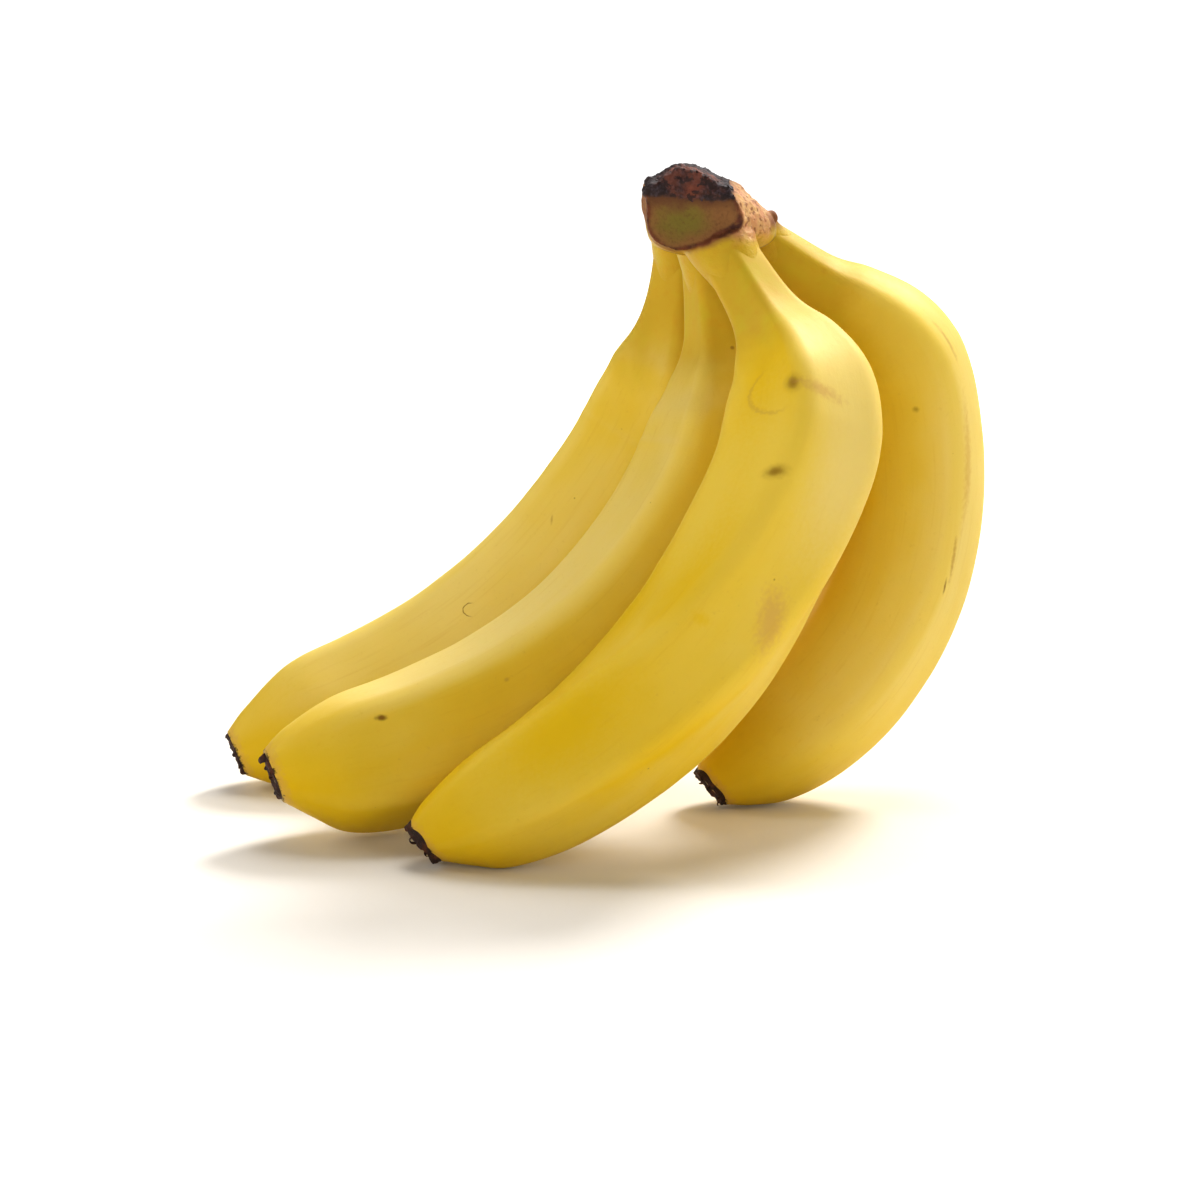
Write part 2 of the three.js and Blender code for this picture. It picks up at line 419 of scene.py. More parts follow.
def peel_tree():
    graph, given, made = new_tree(
        "peel", Rings="Int", Sides="Int", Across="Vector", Length="Float", Radius="Float",
        First_Ridge="Float", Twist="Float", Sharpness="Float", Unevenness="Float", Seed="Float",
        Slant="Float", Skin="Material",
    )
    columns = graph.math("ADD", given["Sides"], 1)
    skin = graph.node("GeometryNodeMeshGrid", {0: 1.0, 1: 1.0, 2: given["Rings"], 3: columns}).outputs[0]
    flat = graph.split(graph.node("GeometryNodeInputPosition").outputs[0])
    share, open_ring = ring_shares(graph, flat, given["Rings"])
    angle = graph.math("MULTIPLY", graph.math("ADD", flat[1], 0.5), math.tau)
    cosine, sine = graph.math("COSINE", angle), graph.math("SINE", angle)

    # Where the path is there, and how thick the finger is.
    path = graph.node("GeometryNodeMeshToCurve", {"Mesh": given["Geometry"]}).outputs[0]
    inputs = {"Curves": path, "Value": graph.stored("girth"), "Factor": share}
    sample = graph.node("GeometryNodeSampleCurve", inputs, data_type="FLOAT").outputs
    from_ridge = angle_from_ridge(graph, angle, share, given)
    crest = graph.span(from_ridge, FACE_ANGLE / 2, 0.0)
    swell = graph.math("SUBTRACT", pentagon_reach(graph, from_ridge), MEAN_REACH)
    swell = graph.math("MULTIPLY_ADD", swell, ridge_strength(graph, share, given["Sharpness"]), 1)
    radius = graph.math("MULTIPLY", graph.math("MULTIPLY", sample["Value"], given["Radius"]), swell)

    # The place on the straightened finger, and the slight unevenness of a grown thing.
    across, up = graph.math("MULTIPLY", radius, cosine), graph.math("MULTIPLY", radius, sine)
    straight = graph.combine(across, up, graph.math("MULTIPLY", share, given["Length"]))
    seeded = graph.vector("ADD", straight, graph.combine(0.0, 0.0, given["Seed"]))
    radius = graph.stray(radius, graph.noise(seeded, 38, 1.5), given["Unevenness"])
    radius = graph.math("MULTIPLY", radius, open_ring)
    inwards, sideways = graph.math("MULTIPLY", radius, cosine), graph.math("MULTIPLY", radius, sine)

    for name, value, kind in (
        ("straight", straight, "FLOAT_VECTOR"), ("share", share, "FLOAT"), ("crest", crest, "FLOAT")
    ):
        inputs = {"Geometry": skin, "Name": name, "Value": value}
        skin = graph.node("GeometryNodeStoreNamedAttribute", inputs, data_type=kind).outputs[0]
    target = place_round_path(graph, sample, given, inwards, sideways, share)
    graph.feed(made["Geometry"], finished_skin(graph, skin, target, given["Skin"]))
    return graph.tree


PEEL = peel_tree()
print("peel tree:", len(PEEL.nodes), "nodes")

# %% [markdown]
# ## The peel's colour
#
# Ripe peel is never one yellow. It is paler and waxier along the ridges and greenish where the neck
# ripens last. Fine threads run along it. Small brown freckles, scratches and bruises sit on top. A
# painted picture could hold all this, but it blurs up close. Here each of these is one layer, mixed
# over the last by a mask that is worked out in the straightened finger's coordinates. Light and shade
# are painted in as well: a pale, cream sheen on the side that faces the light, and deeper yellow as
# painted shade on the sides and hollows that face away.

# %% Colours
RIPE = (0.71, 0.48, 0.005, 1.0)
# Also the painted sheen on the sides that face the light.
PALE = (0.75, 0.56, 0.085, 1.0)
# Only used as a painted highlight, where the peel faces the light.
HIGHLIGHT_CREAM = (0.79, 0.63, 0.22, 1.0)
WAX_TINT = (1.0, 0.75, 0.25, 1.0)
# Also the painted shade on the sides that face away from the light.
DEEP = (0.69, 0.465, 0.001, 1.0)
GREENISH = (0.54, 0.43, 0.03, 1.0)
NECK = (0.56, 0.38, 0.03, 1.0)
THREAD = (0.55, 0.30, 0.02, 1.0)
FRECKLE = (0.20, 0.085, 0.012, 1.0)
SMUDGE = (0.27, 0.15, 0.012, 1.0)
SCRATCH = (0.42, 0.22, 0.05, 1.0)
BRUISE = (0.58, 0.33, 0.11, 1.0)
CHARRED = (0.022, 0.010, 0.006, 1.0)


# %% Marks that single fingers carry
def spot(share, angle, wide, long, spin=0, colour=SMUDGE, strength=0.8, ragged=0.7, ring=False):
    """A mark at a share of the finger's length and an angle round it, wide and long in millimetres."""
    return dict(share=share, angle=angle, wide=wide, long=long, spin=spin, colour=colour,
                strength=strength, ragged=ragged, ring=ring)


MARKS = [
    [
        spot(0.629, 34, 2.6, 3.4, spin=40, colour=FRECKLE, strength=0.8, ragged=0.25, ring=True),
        spot(0.454, 26, 0.5, 2.0, spin=-35, colour=SCRATCH, strength=0.5),
        spot(0.80, 48, 5.0, 11.0, colour=PALE, strength=0.4, ragged=1.0),
    ],
    [
        spot(0.867, 54, 1.0, 2.3, spin=12, colour=FRECKLE, strength=0.9),
        spot(0.70, 62, 0.8, 1.1, colour=SCRATCH, strength=0.4),
    ],
    [
        # The next four are painted light: pale and cream patches where the upper body catches the light,
        # and plain ripe yellow lower down, where less light falls.
        spot(0.36, 85, 16, 36, colour=PALE, strength=0.9, ragged=0.3),
        spot(0.42, 42, 13, 44, colour=PALE, strength=0.9, ragged=0.3),
        spot(0.33, 148, 15, 32, colour=HIGHLIGHT_CREAM, strength=0.85, ragged=0.3),
        spot(0.78, 80, 16, 34, colour=RIPE, strength=0.9, ragged=0.3),
        spot(0.258, 92, 3.2, 3.4, strength=0.5, ragged=0.35),
        spot(0.258, 92, 1.8, 2.0, strength=0.75, ragged=0.2),
        spot(0.266, 112, 8.5, 2.2, spin=16, colour=BRUISE, strength=0.5, ragged=1.1),
        spot(0.371, 92, 4.8, 2.6, spin=-26, strength=0.5, ragged=0.35),
        spot(0.371, 92, 2.6, 1.4, spin=-26, strength=0.75, ragged=0.2),
        spot(0.256, 78, 9.0, 10.5, spin=66, colour=SCRATCH, strength=0.30, ragged=0.2, ring=True),
        spot(0.521, 140, 5.0, 11.0, spin=-25, colour=BRUISE, strength=0.5, ragged=0.9),
        spot(0.566, 96, 3.5, 2.2, colour=DEEP, strength=0.5, ragged=1.0),
    ],
    [
        # A painted highlight: a pale patch on the upper side, where the light falls.
        spot(0.24, 98, 15, 32, colour=PALE, strength=0.85, ragged=0.3),
        spot(0.354, 78, 1.3, 1.1, strength=0.5),
        spot(0.287, 128, 1.2, 6.0, colour=SCRATCH, strength=0.45, ragged=0.9),
        spot(0.43, 119, 2.4, 20.0, spin=4, colour=THREAD, strength=0.4, ragged=0.9),
        spot(0.555, 112, 0.9, 8.0, spin=-8, colour=SCRATCH, strength=0.55, ragged=1.0),
        spot(0.592, 111, 0.6, 2.6, spin=-8, colour=FRECKLE, strength=0.75, ragged=0.6),
    ],
]
print("marks on each finger:", [len(marks) for marks in MARKS])


MARK_DEPTH = 12 * MM    # deep enough for the round peel to stay inside a mark as wide as a finger


def mark_mask(graph, straight, finger, mark):
    """How much a mark covers: all of its strength in the middle, and nothing outside it."""
    angle = math.radians(mark["angle"])
    radius = girth_at(mark["share"]) * finger["girth"] / 2 * MM
    middle = (radius * math.cos(angle), radius * math.sin(angle), mark["share"] * finger["length"] * MM)
    around = Vector((-math.sin(angle), math.cos(angle), 0))
    outwards = Vector((math.cos(angle), math.sin(angle), 0))
    axes = Matrix((around, Vector((0, 0, 1)), outwards)).transposed()
    turned = axes @ Matrix.Rotation(math.radians(mark["spin"]), 3, "Z")
    inputs = {
        "Vector": straight, "Location": middle, "Rotation": turned.to_euler(),
        "Scale": (mark["wide"] * MM, mark["long"] * MM, MARK_DEPTH),
    }
    local = graph.node("ShaderNodeMapping", inputs, vector_type="TEXTURE").outputs[0]
    reach = graph.stray(graph.vector("LENGTH", local), graph.noise(straight, 900, 3), mark["ragged"])
    if not mark["ring"]:
        return graph.span(reach, 0.1, 1.0, mark["strength"], 0.0)
    line = graph.span(graph.math("ABSOLUTE", graph.math("SUBTRACT", reach, 0.8)), 0.0, 0.1, 1.0, 0.0)
    half = graph.span(graph.split(local)[1], -0.2, 0.45, 0.0, mark["strength"])
    return graph.math("MULTIPLY", line, half)


# %% Layers of the peel
def neck_colour(graph, place):
    """The neck's yellow, with its green tinge. The crown's sleeves use it too, so no seam shows."""
    patch = graph.noise(place, 120, 2)
    colour = graph.mix(graph.span(patch, 0.4, 0.75, 0, 0.7), NECK, GREENISH)
    return graph.mix(graph.span(graph.noise(place, 420, 3), 0.45, 0.8, 0, 0.35), colour, THREAD)


def ripe_colour(graph, cloud):
    """Clouds of paler and deeper yellow, a painted sheen on the lit side and painted shade away from it."""
    colour = graph.mix(graph.span(cloud, 0.40, 0.75, 0, 0.8), RIPE, PALE)
    colour = graph.mix(graph.span(cloud, 0.5, 0.25, 0, 0.5), colour, DEEP)
    # Painted light: pale and cream where the point faces its finger's light side, deeper where it faces
    # away.
    facing = graph.stray(graph.attribute("facing"), cloud, 0.4)
    colour = graph.mix(graph.span(facing, 0.25, -0.5, 0, 0.7), colour, DEEP)
    colour = graph.mix(graph.span(facing, 0.15, 0.8, 0, 0.85), colour, PALE)
    return graph.mix(graph.span(facing, 0.62, 1.0, 0, 0.8), colour, HIGHLIGHT_CREAM)


def worn_colour(graph, colour, cloud, fibre, mottle):
    """Threads along the peel, ridges that are a little worn, and a fine mottle."""
    colour = graph.mix(graph.span(fibre, 0.52, 0.85, 0, 0.2), colour, THREAD)
    crest = graph.span(graph.attribute("crest"), 0.8, 1.0)
    worn = graph.math("MULTIPLY", crest, graph.span(cloud, 0.35, 0.65, 0.15, 0.55))
    colour = graph.mix(worn, colour, PALE)
    return graph.mix(graph.span(mottle, 0.58, 0.9, 0, 0.25), colour, SCRATCH)


def neck_and_tip(graph, colour, cloud, mottle):
    """Green at the neck, and tan and then charred at the tip."""
    share = graph.attribute("share")
    near_neck = graph.span(graph.stray(share, cloud, 0.12), 0.1, 0.23, 1, 0)
    colour = graph.mix(near_neck, colour, neck_colour(graph, graph.place()))
    edge = graph.stray(share, mottle, 0.02)
    colour = graph.mix(graph.span(edge, 0.84, 0.97, 0, 0.7), colour, DEEP)
    colour = graph.mix(graph.span(edge, 0.986, 0.998, 0, 0.45), colour, BRUISE)
    return graph.mix(graph.span(edge, 0.998, 1.002), colour, CHARRED)


def freckles(graph, straight, scale, chance, size):
    """Small round spots, in a random few of the cells of a Voronoi pattern."""
    cells = graph.node("ShaderNodeTexVoronoi", {"Vector": straight, "Scale": scale}).outputs
    pick = graph.node("ShaderNodeSeparateColor", {0: cells["Color"]}).outputs
    here = graph.math("LESS_THAN", pick[0], chance)
    reach = graph.math("MULTIPLY", pick[1], size * scale)
    grown = graph.math("MULTIPLY_ADD", graph.noise(straight, 1500, 2), 0.3 * size * scale, reach)
    inside = graph.math("DIVIDE", cells["Distance"], grown)
    return graph.math("MULTIPLY", here, graph.span(inside, 0.5, 1.0, 1.0, 0.0))


# %% Peel material
APART = 0.731           # shift between one finger's noises and the next one's, so that no two match
FLESH = {               # light that enters ripe peel comes out again, yellower
    "Subsurface Radius": (1.0, 0.55, 0.12),
    "Subsurface Scale": 2.5 * MM,
    "IOR": 1.45,
}
FLESH_SHARE = 0.12


def peel_material(number, finger):
    material, graph, shader = new_material(f"banana_peel_{number}")
    straight = graph.attribute("straight", "Vector")
    place = graph.vector("ADD", straight, (0.0, 0.0, APART * number))

    # Both are drawn out along the finger: the clouds a little, the fibres a lot.
    cloud = graph.noise(graph.vector("MULTIPLY", place, (1.0, 1.0, 0.4)), 45, 3, 0.5, 0.3)
    fibre = graph.noise(graph.vector("MULTIPLY", place, (1.0, 1.0, 0.035)), 900, 3, 0.6)
    mottle = graph.noise(place, 700, 4, 0.65)
    colour = ripe_colour(graph, cloud)
    colour = worn_colour(graph, colour, cloud, fibre, mottle)
    colour = neck_and_tip(graph, colour, cloud, mottle)

    # Freckles everywhere, and this finger's own marks.
    dents = freckles(graph, place, 70, 0.2, 0.9 * MM)
    small = freckles(graph, place, 190, 0.16, 0.4 * MM)
    colour = graph.mix(graph.math("MULTIPLY", dents, 0.6), colour, FRECKLE)
    colour = graph.mix(graph.math("MULTIPLY", small, 0.45), colour, FRECKLE)
    dull = dents
    for mark in MARKS[number - 1]:
        mask = mark_mask(graph, straight, finger, mark)
        colour = graph.mix(mask, colour, mark["colour"])
        dull = graph.math("MAXIMUM", dull, mask)

    # Relief: pores, threads, and slightly sunken freckles.
    pores = graph.noise(place, 2600, 2)
    relief = graph.math("MULTIPLY_ADD", pores, 0.35, graph.math("MULTIPLY", fibre, 0.6))
    relief = graph.math("MULTIPLY_ADD", mottle, 0.7, relief)
    relief = graph.math("MULTIPLY_ADD", dents, -1.2, relief)
    graph.feed_all(shader, {
        "Base Color": colour,
        "Roughness": graph.math("MULTIPLY_ADD", mottle, 0.12, graph.span(dull, 0, 1, 0.47, 0.62)),
        "Normal": graph.bump(relief, 0.35, 0.12 * MM),
        "Specular IOR Level": 0.42,
        "Specular Tint": WAX_TINT,
        "Subsurface Weight": FLESH_SHARE,
        **FLESH,
    })
    return material


# %% The four fingers
PEEL_RINGS = 232
PEEL_SIDES = 130
UNEVENNESS = 1.1 * MM
LIT_BACK = 0.85        # how far the painted light also pales the fingers' backs, where 1 is as pale as the lit side
RESTING = 0.05 * MM     # how close to the table a finger's underside comes, pressed flat there


def own_girths(finger):
    """A finger's radius at each step of its path, as a share of its largest radius."""
    share = np.linspace(0, 1, LINE_STEPS + 1)
    girths = girth_at(share)
    for middle, amount, reach in finger["fuller"]:
        girths *= 1 + amount * np.exp(-(((share - middle) / reach) ** 2))
    return girths


def press_on_table(mesh):
    """No point of a finger stays lower than its weight would press it."""
    place = mesh_values(mesh.vertices, "co")
    place[:, 2] = np.maximum(place[:, 2], RESTING)
    mesh.vertices.foreach_set("co", place.ravel())
    mesh.update()


def make_finger(number, finger):
    points, _, across = centre_line(finger)
    edges = [(i, i + 1) for i in range(LINE_STEPS)]
    piece = new_piece(f"finger_{number}", points, edges)
    keep_values(piece.data, "girth", own_girths(finger))
    run_tree(
        piece, PEEL, Rings=PEEL_RINGS, Sides=PEEL_SIDES, Across=tuple(across),
        Length=finger["length"] * MM, Radius=finger["girth"] / 2 * MM,
        First_Ridge=math.radians(finger["ridge"]), Twist=math.radians(finger["twist"]),
        Sharpness=finger["sharpness"], Unevenness=UNEVENNESS, Seed=0.37 * number,
        Slant=math.radians(finger["slant"]), Skin=peel_material(number, finger),
    )
    press_on_table(piece.data)
    # Painted light: each point stores how far it faces its finger's light side, or its back. The peel is
    # painted paler there and deeper yellow where it faces away.
    normals = mesh_values(piece.data.vertex_normals, "vector")
    pale = np.maximum(normals @ unit(finger["light_side"]), LIT_BACK * normals[:, 1])
    keep_values(piece.data, "facing", pale)
    return piece


fingers = [make_finger(number, finger) for number, finger in enumerate(FINGERS, 1)]
for piece in fingers:
    print(piece.name, len(piece.data.polygons), "faces")

# %% [markdown]
# ## The crown's block
#
# The crown is the stump of the stalk that carried the whole hand. It was cut from the plant with a
# knife. Its front is that cut, dried to an olive brown with a dark curled rim. The top has shrunk to
# a rough black crust, and the right flank is corky. It could be sculpted by hand, but then its size
# is hard to change. Here a loft gives the block: one outline at the front cut and one through the
# middle, then a taper that bends and rounds off behind. Sleeves round the necks flare into it, and
# one voxel remesh grows all of them together as the plant did.

# %% The crown's outlines, seen from the front, in millimetres from the crown's middle
CUT_Y = -25.4
MIDDLE_Y = -9.0
BACK_Y = 24.5
FRONT_OUTLINE = [
    (-16.4, 5.0), (-16.3, 0.6), (-14.3, -2.7), (-8.5, -4.8), (-3.0, -3.8), (1.8, -1.8), (5.6, -0.2),
    (7.3, 1.8), (6.3, 5.6), (3.9, 9.6), (0.2, 11.6), (-3.2, 13.2), (-7.2, 14.6), (-10.2, 14.0),
    (-13.0, 12.0), (-16.3, 10.2),
]
MIDDLE_OUTLINE = [
    (-16.4, 3.0), (-15.6, -3.0), (-11.0, -6.0), (-4.0, -7.0), (4.0, -6.5), (11.0, -5.5), (15.0, -3.6),
    (16.2, -0.8), (14.8, 2.8), (10.6, 6.4), (4.6, 10.8), (-1.6, 13.6), (-7.0, 15.4), (-10.4, 14.6),
    (-13.4, 12.4), (-16.4, 10.4),
]
FACE_OUTLINE = [
    (-16.0, 8.8), (-16.2, 4.5), (-15.8, 0.6), (-14.1, -2.2), (-11.6, -4.0), (-8.5, -4.4), (-3.4, -3.3),
    (0.6, -1.6), (4.6, -0.2), (6.4, 1.8), (5.6, 4.9), (3.9, 7.6), (-1.7, 8.6), (-8.5, 9.0), (-12.6, 9.2),
]
HEART = np.array([-2.0, 3.5])   # the point that the outlines shrink towards
ROUND_FROM = 4.0    # where the block starts to round off towards its back
ROUNDING = 0.86     # how much of its end the rounding takes away
BACK_TAPER = 0.12   # how much lower and narrower it is there
BOW = 3.0           # how far its back end bends to the fingers' side


def crown_rings(count=56):
    """The block's closed rings, from the front cut to the rounded back."""
    front = smooth_curve(FRONT_OUTLINE, 8, closed=True)
    middle = smooth_curve(MIDDLE_OUTLINE, 8, closed=True)
    rings = []
    for share in np.linspace(0, 1, count):
        y = CUT_Y + share * (BACK_Y - CUT_Y)
        blend = ease(y, CUT_Y, MIDDLE_Y)
        end = max(0.0, (y - ROUND_FROM) / (BACK_Y - ROUND_FROM))
        shrink = math.sqrt(max(0.0, 1 - ROUNDING * end**2.2)) * (1 - BACK_TAPER * ease(y, -6, 20))
        outline = HEART + (front * (1 - blend) + middle * blend - HEART) * shrink
        outline[:, 0] -= BOW * ease(y, -8, BACK_Y) ** 1.5
        rings.append(np.column_stack([outline[:, 0], np.full(len(outline), y), outline[:, 1]]))
    return np.array(rings)


def closed_loft(rings):
    """Points and faces of a closed skin over rings of points, with a fan of triangles at each end."""
    count, sides = rings.shape[:2]
    points = np.vstack([rings.reshape(-1, 3), rings[0].mean(0), rings[-1].mean(0)])
    faces = []
    for i in range(count - 1):
        for j in range(sides):
            k = (j + 1) % sides
            faces.append((i * sides + j, i * sides + k, (i + 1) * sides + k, (i + 1) * sides + j))
    last = (count - 1) * sides
    for j in range(sides):
        k = (j + 1) % sides
        faces.append((count * sides, k, j))
        faces.append((count * sides + 1, last + j, last + k))
    return points, faces


print("the block has", len(crown_rings()), "rings of", len(crown_rings()[0]), "points")

# %% Sleeves that flare from the necks into the crown, and the stub of a small leaf
SLEEVE_START = -3.0     # distances from the neck's foot
SLEEVE_END = 21.0
SLEEVE_DIVE = 0.7       # how far under the neck's skin a sleeve ends
NUB_AT = (15.2, -4.0, 2.6)
NUB_RADIUS = 1.5
NUB_POLE = 0.15         # angle from the ball's pole to its first ring


def sleeve_rings(finger, count=24, sides=40):
    """Rings round a neck, wider than it at the crown and just under its skin at the end."""
    points, along, across = centre_line(finger)
    step = finger["length"] / LINE_STEPS
    angles = np.linspace(0, math.tau, sides, endpoint=False)
    rings = []
    for distance in np.linspace(SLEEVE_START, SLEEVE_END, count):
        index = int(np.clip(round(distance / step), 0, LINE_STEPS))
        middle = points[index] / MM + along[index] * (distance - index * step) - CROWN_AT
        inward = np.cross(along[index], across)
        flare = (1 - ease(distance, -1, SLEEVE_END)) ** 1.5
        radius = girth_at(distance / finger["length"]) * finger["girth"] / 2
        radius += finger["flare"] * flare - SLEEVE_DIVE * (1 - flare)
        circle = np.outer(np.cos(angles), inward) + np.outer(np.sin(angles), across)
        rings.append(middle + radius * circle)
    return np.array(rings)


def ball_rings(middle, radius, count=9, sides=12):
    """Rings of a ball: the stub of a small leaf on the crown's flank."""
    around = np.linspace(0, math.tau, sides, endpoint=False)
    rings = []
    for down in np.linspace(NUB_POLE, math.pi - NUB_POLE, count):
        ring = [np.sin(down) * np.cos(around), np.sin(down) * np.sin(around), np.full(sides, np.cos(down))]
        rings.append(np.array(middle) + radius * np.transpose(ring))
    return np.array(rings)


# %% Growing them together
CROWN_VOXEL = 0.45 * MM
SOFTENING = 8           # rounds of smoothing where the parts meet


def stacked(parts):
    """The points and faces of several meshes as those of one."""
    points, faces = [], []
    for part_points, part_faces in parts:
        shift = sum(len(p) for p in points)
        faces += [tuple(corner + shift for corner in face) for face in part_faces]
        points.append(part_points)
    return np.vstack(points), faces


def grown_together(name, parts):
    """One closed skin round several closed meshes that overlap, softened where they meet."""
    points, faces = stacked(parts)
    piece = new_piece(name, (points + CROWN_AT) * MM, faces=faces)
    remesh = piece.modifiers.new("remesh", "REMESH")
    remesh.mode = "VOXEL"
    remesh.voxel_size = CROWN_VOXEL
    remesh.use_smooth_shade = True
    smooth = piece.modifiers.new("smooth", "SMOOTH")
    smooth.iterations = SOFTENING
    keep_result(piece)
    return piece


crown_parts = [closed_loft(crown_rings()), closed_loft(ball_rings(NUB_AT, NUB_RADIUS))]
crown_parts += [closed_loft(sleeve_rings(finger)) for finger in FINGERS]
crown = grown_together("crown_block", crown_parts)
print("crown:", len(crown.data.polygons), "faces")

# %% [markdown]
# ## Shaping the crown's surfaces
#
# Each part of the crown dried in its own way, so each gets its own relief: the cut is nearly flat,
# its rim stands up and curls, the crust on top is broken, the cork has pits. A few masks
# say how much of each a point has. They are kept as attributes, so the material uses the same edges
# as the shape.


# %% Distances and random heights that the masks are made of
def outline_distance(points, outline):
    """How far points are outside a closed outline. Inside it the distance is negative."""
    corners = smooth_curve(outline, 6, closed=True)
    starts, ends = corners, np.roll(corners, -1, axis=0)
    best = np.full(len(points), 1e9)
    inside = np.zeros(len(points), bool)
    for a, b in zip(starts, ends):
        side = b - a
        t = np.clip(((points - a) @ side) / (side @ side), 0, 1)
        best = np.minimum(best, np.linalg.norm(points - a - t[:, None] * side, axis=1))
        crosses = (a[1] > points[:, 1]) != (b[1] > points[:, 1])
        rise = side[1] if abs(side[1]) > 1e-9 else 1e-9
        inside ^= crosses & (points[:, 0] < a[0] + side[0] * (points[:, 1] - a[1]) / rise)
    return np.where(inside, -best, best)


def rough(points, size, octaves=3):
    """Smooth random heights, -1 to 1, with features of about this size in millimetres."""
    return np.array([noise.fractal(Vector(p) / size, 0.8, 2.1, octaves) for p in points])


def neck_crease(place):
    """1 where two necks are equally near, 0 where one of them is clearly the nearest."""
    reach = []
    for finger in FINGERS:
        away = unit(np.array([*finger["lean"], -1.0]))
        offset = place - np.array(finger["foot"])
        across = offset - np.outer(offset @ away, away)
        reach.append(np.linalg.norm(across, axis=1) - OUTLINE[0, 1] * finger["girth"] / 2)
    first, second = np.sort(reach, axis=0)[:2]
    return ease(second - first, 2.2, 0.2)


# %% Masks and relief
def crust_line(place, wander, broad, fine):
    """The height above which the crown is crust. Behind the cut it wanders up and down more."""
    x, y, _ = place.T
    return 7.6 + 0.7 * wander + 0.4 * fine - 0.06 * (x + 6) + ease(y, -16, -6) * (2.0 + 2.4 * broad)


def crown_masks(place, edge, above, wander, fine):
    """How much of each kind of surface a point has. `above` is its height over the crust's line."""
    x, y, z = place.T

    # The cut face, and the rim round it, widest at its lower right.
    front = ease(y, CUT_Y + 4.5, CUT_Y + 1.5)
    face = front * ease(edge, 0.3, -0.4)
    wide = 0.35 + 0.5 * np.abs(wander) + 1.3 * ease(x, -5, 4) * ease(z, 5, 1)
    rim = front * ease(edge + wide, -0.1, 0.5) * ease(edge, 1.0, 0.1)

    # The crust on top and the cork on the right flank.
    right_line = 3.4 + 1.0 * wander + 0.6 * fine - 0.30 * (z - 12)
    crust = ease(above, -0.4, 0.4) * ease(x - right_line, 0.8, -0.5)
    cork = ease(x, 3.2 + wander, 7.0 + wander) * ease(z, -4.5 + 1.5 * wander, -0.5 + wander)
    cork *= ease(x, 15.8 + wander, 13.4 + wander) * (1 - face) * (1 - crust) * (1 - 0.9 * rim)

    # The necks below. Under the cut they are brown for a little way first.
    below = np.where(y < -14, ease(edge, 0.2, 2.4), 1)
    neck = ease(z, 1.6, -2.0) * below * (1 - face) * (1 - crust)
    # Painted shade: darker where two necks meet under the crown.
    crease = neck_crease(place) * ease(z, 0, -3) * (1 - face)
    return {"face": face, "rim": rim, "crust": crust, "cork": cork, "neck": neck, "crease": crease}


def crown_lift(place, masks, above, wander, broad, fine):
    """How far each point stands out of the plain loft."""
    face, rim, crust, cork, neck = [masks[name] for name in ("face", "rim", "crust", "cork", "neck")]
    y = place[:, 1]
    lumps = rough(place + 80, 3.4, 3)
    lip = ease(above, 2.2, 0.3) * ease(y, -14, -22)
    lift = crust * (0.5 * fine + 0.6 * lumps + 0.5 * np.abs(wander) + 0.1 + 0.7 * lip)
    lift += rim * (1 - crust) * (0.1 + 0.45 * fine)
    lift += cork * (0.3 * fine + 0.25 * wander)
    lift += ease(y, -16, -6) * (1 - neck) * (1.3 * broad + 0.5 * wander)
    lift += face * 0.06 * fine
    return lift


def shape_crown(piece):
    mesh = piece.data
    place = mesh_values(mesh.vertices, "co") / MM - CROWN_AT
    normal = mesh_values(mesh.vertex_normals, "vector")
    wander = rough(place, 7.0)
    broad = rough(place + 20, 13.0, 2)
    fine = rough(place + 40, 1.6, 4)
    edge = outline_distance(place[:, [0, 2]], FACE_OUTLINE) + 0.35 * wander + 0.2 * fine
    above = place[:, 2] - crust_line(place, wander, broad, fine)
    masks = crown_masks(place, edge, above, wander, fine)
    moved = place + normal * crown_lift(place, masks, above, wander, broad, fine)[:, None]

    # The cut is flat, and dished towards its middle.
    dish = 0.5 * (1 - ease(edge, -5.0, 0.0))
    flat = CUT_Y + 0.3 + dish
    moved[:, 1] += masks["face"] * (flat - moved[:, 1])
    mesh.vertices.foreach_set("co", ((moved + CROWN_AT) * MM).ravel())
    for name, mask in masks.items():
        keep_values(mesh, name, np.clip(mask, 0, 1))
    mesh.update()
    return {name: int(mask.sum()) for name, mask in masks.items()}


print("points in each area:", shape_crown(crown))

# %% [markdown]
# ## The crown's finish
#
# The cut is green in its middle and turns orange brown towards its rim. The crust is nearly black,
# with a bluish bloom and one reddish patch. The cork is a pinkish tan with brown dots, and all
# between is the brown of dried peel. Four materials could meet along the mesh's faces, but their
# edges would be jagged. One material follows the masks instead, so every edge is soft.

# %% Crown material
BARK = tone(150, 106, 48)
CUT_GREEN = tone(120, 106, 32)
CUT_TAN = tone(138, 96, 50)
CUT_BROWN = tone(92, 54, 26)
RIM_BROWN = tone(70, 34, 20)
# Painted shade between the necks.
RIM_RED = tone(116, 62, 32)
CREASE_SHADE_BROWN = tone(112, 74, 18)
CRUST_BLACK = tone(40, 24, 24)
CRUST_BLUE = tone(76, 64, 72)
CRUST_RED = tone(128, 70, 50)
CORK_TAN = tone(206, 164, 108)
CORK_PINK = tone(196, 142, 98)
CORK_BROWN = tone(132, 82, 46)
CORK_LIGHT = tone(232, 206, 166)


GREENEST_AT = (-8 * MM, 0, 2 * MM)              # on the cut, from the crown's middle
RED_PATCH_AT = (-6 * MM, -21 * MM, 14 * MM)     # on the crust


def cork_colour(graph, cloud, grain, pits):
    """Pinkish tan, with brown dots and pale flecks."""
    cork = graph.mix(graph.span(cloud, 0.35, 0.62), CORK_TAN, CORK_PINK)
    cork = graph.mix(graph.span(pits, 0.52, 0.66, 0, 0.8), cork, CORK_BROWN)
    return graph.mix(graph.span(grain, 0.56, 0.72, 0, 0.6), cork, CORK_LIGHT)


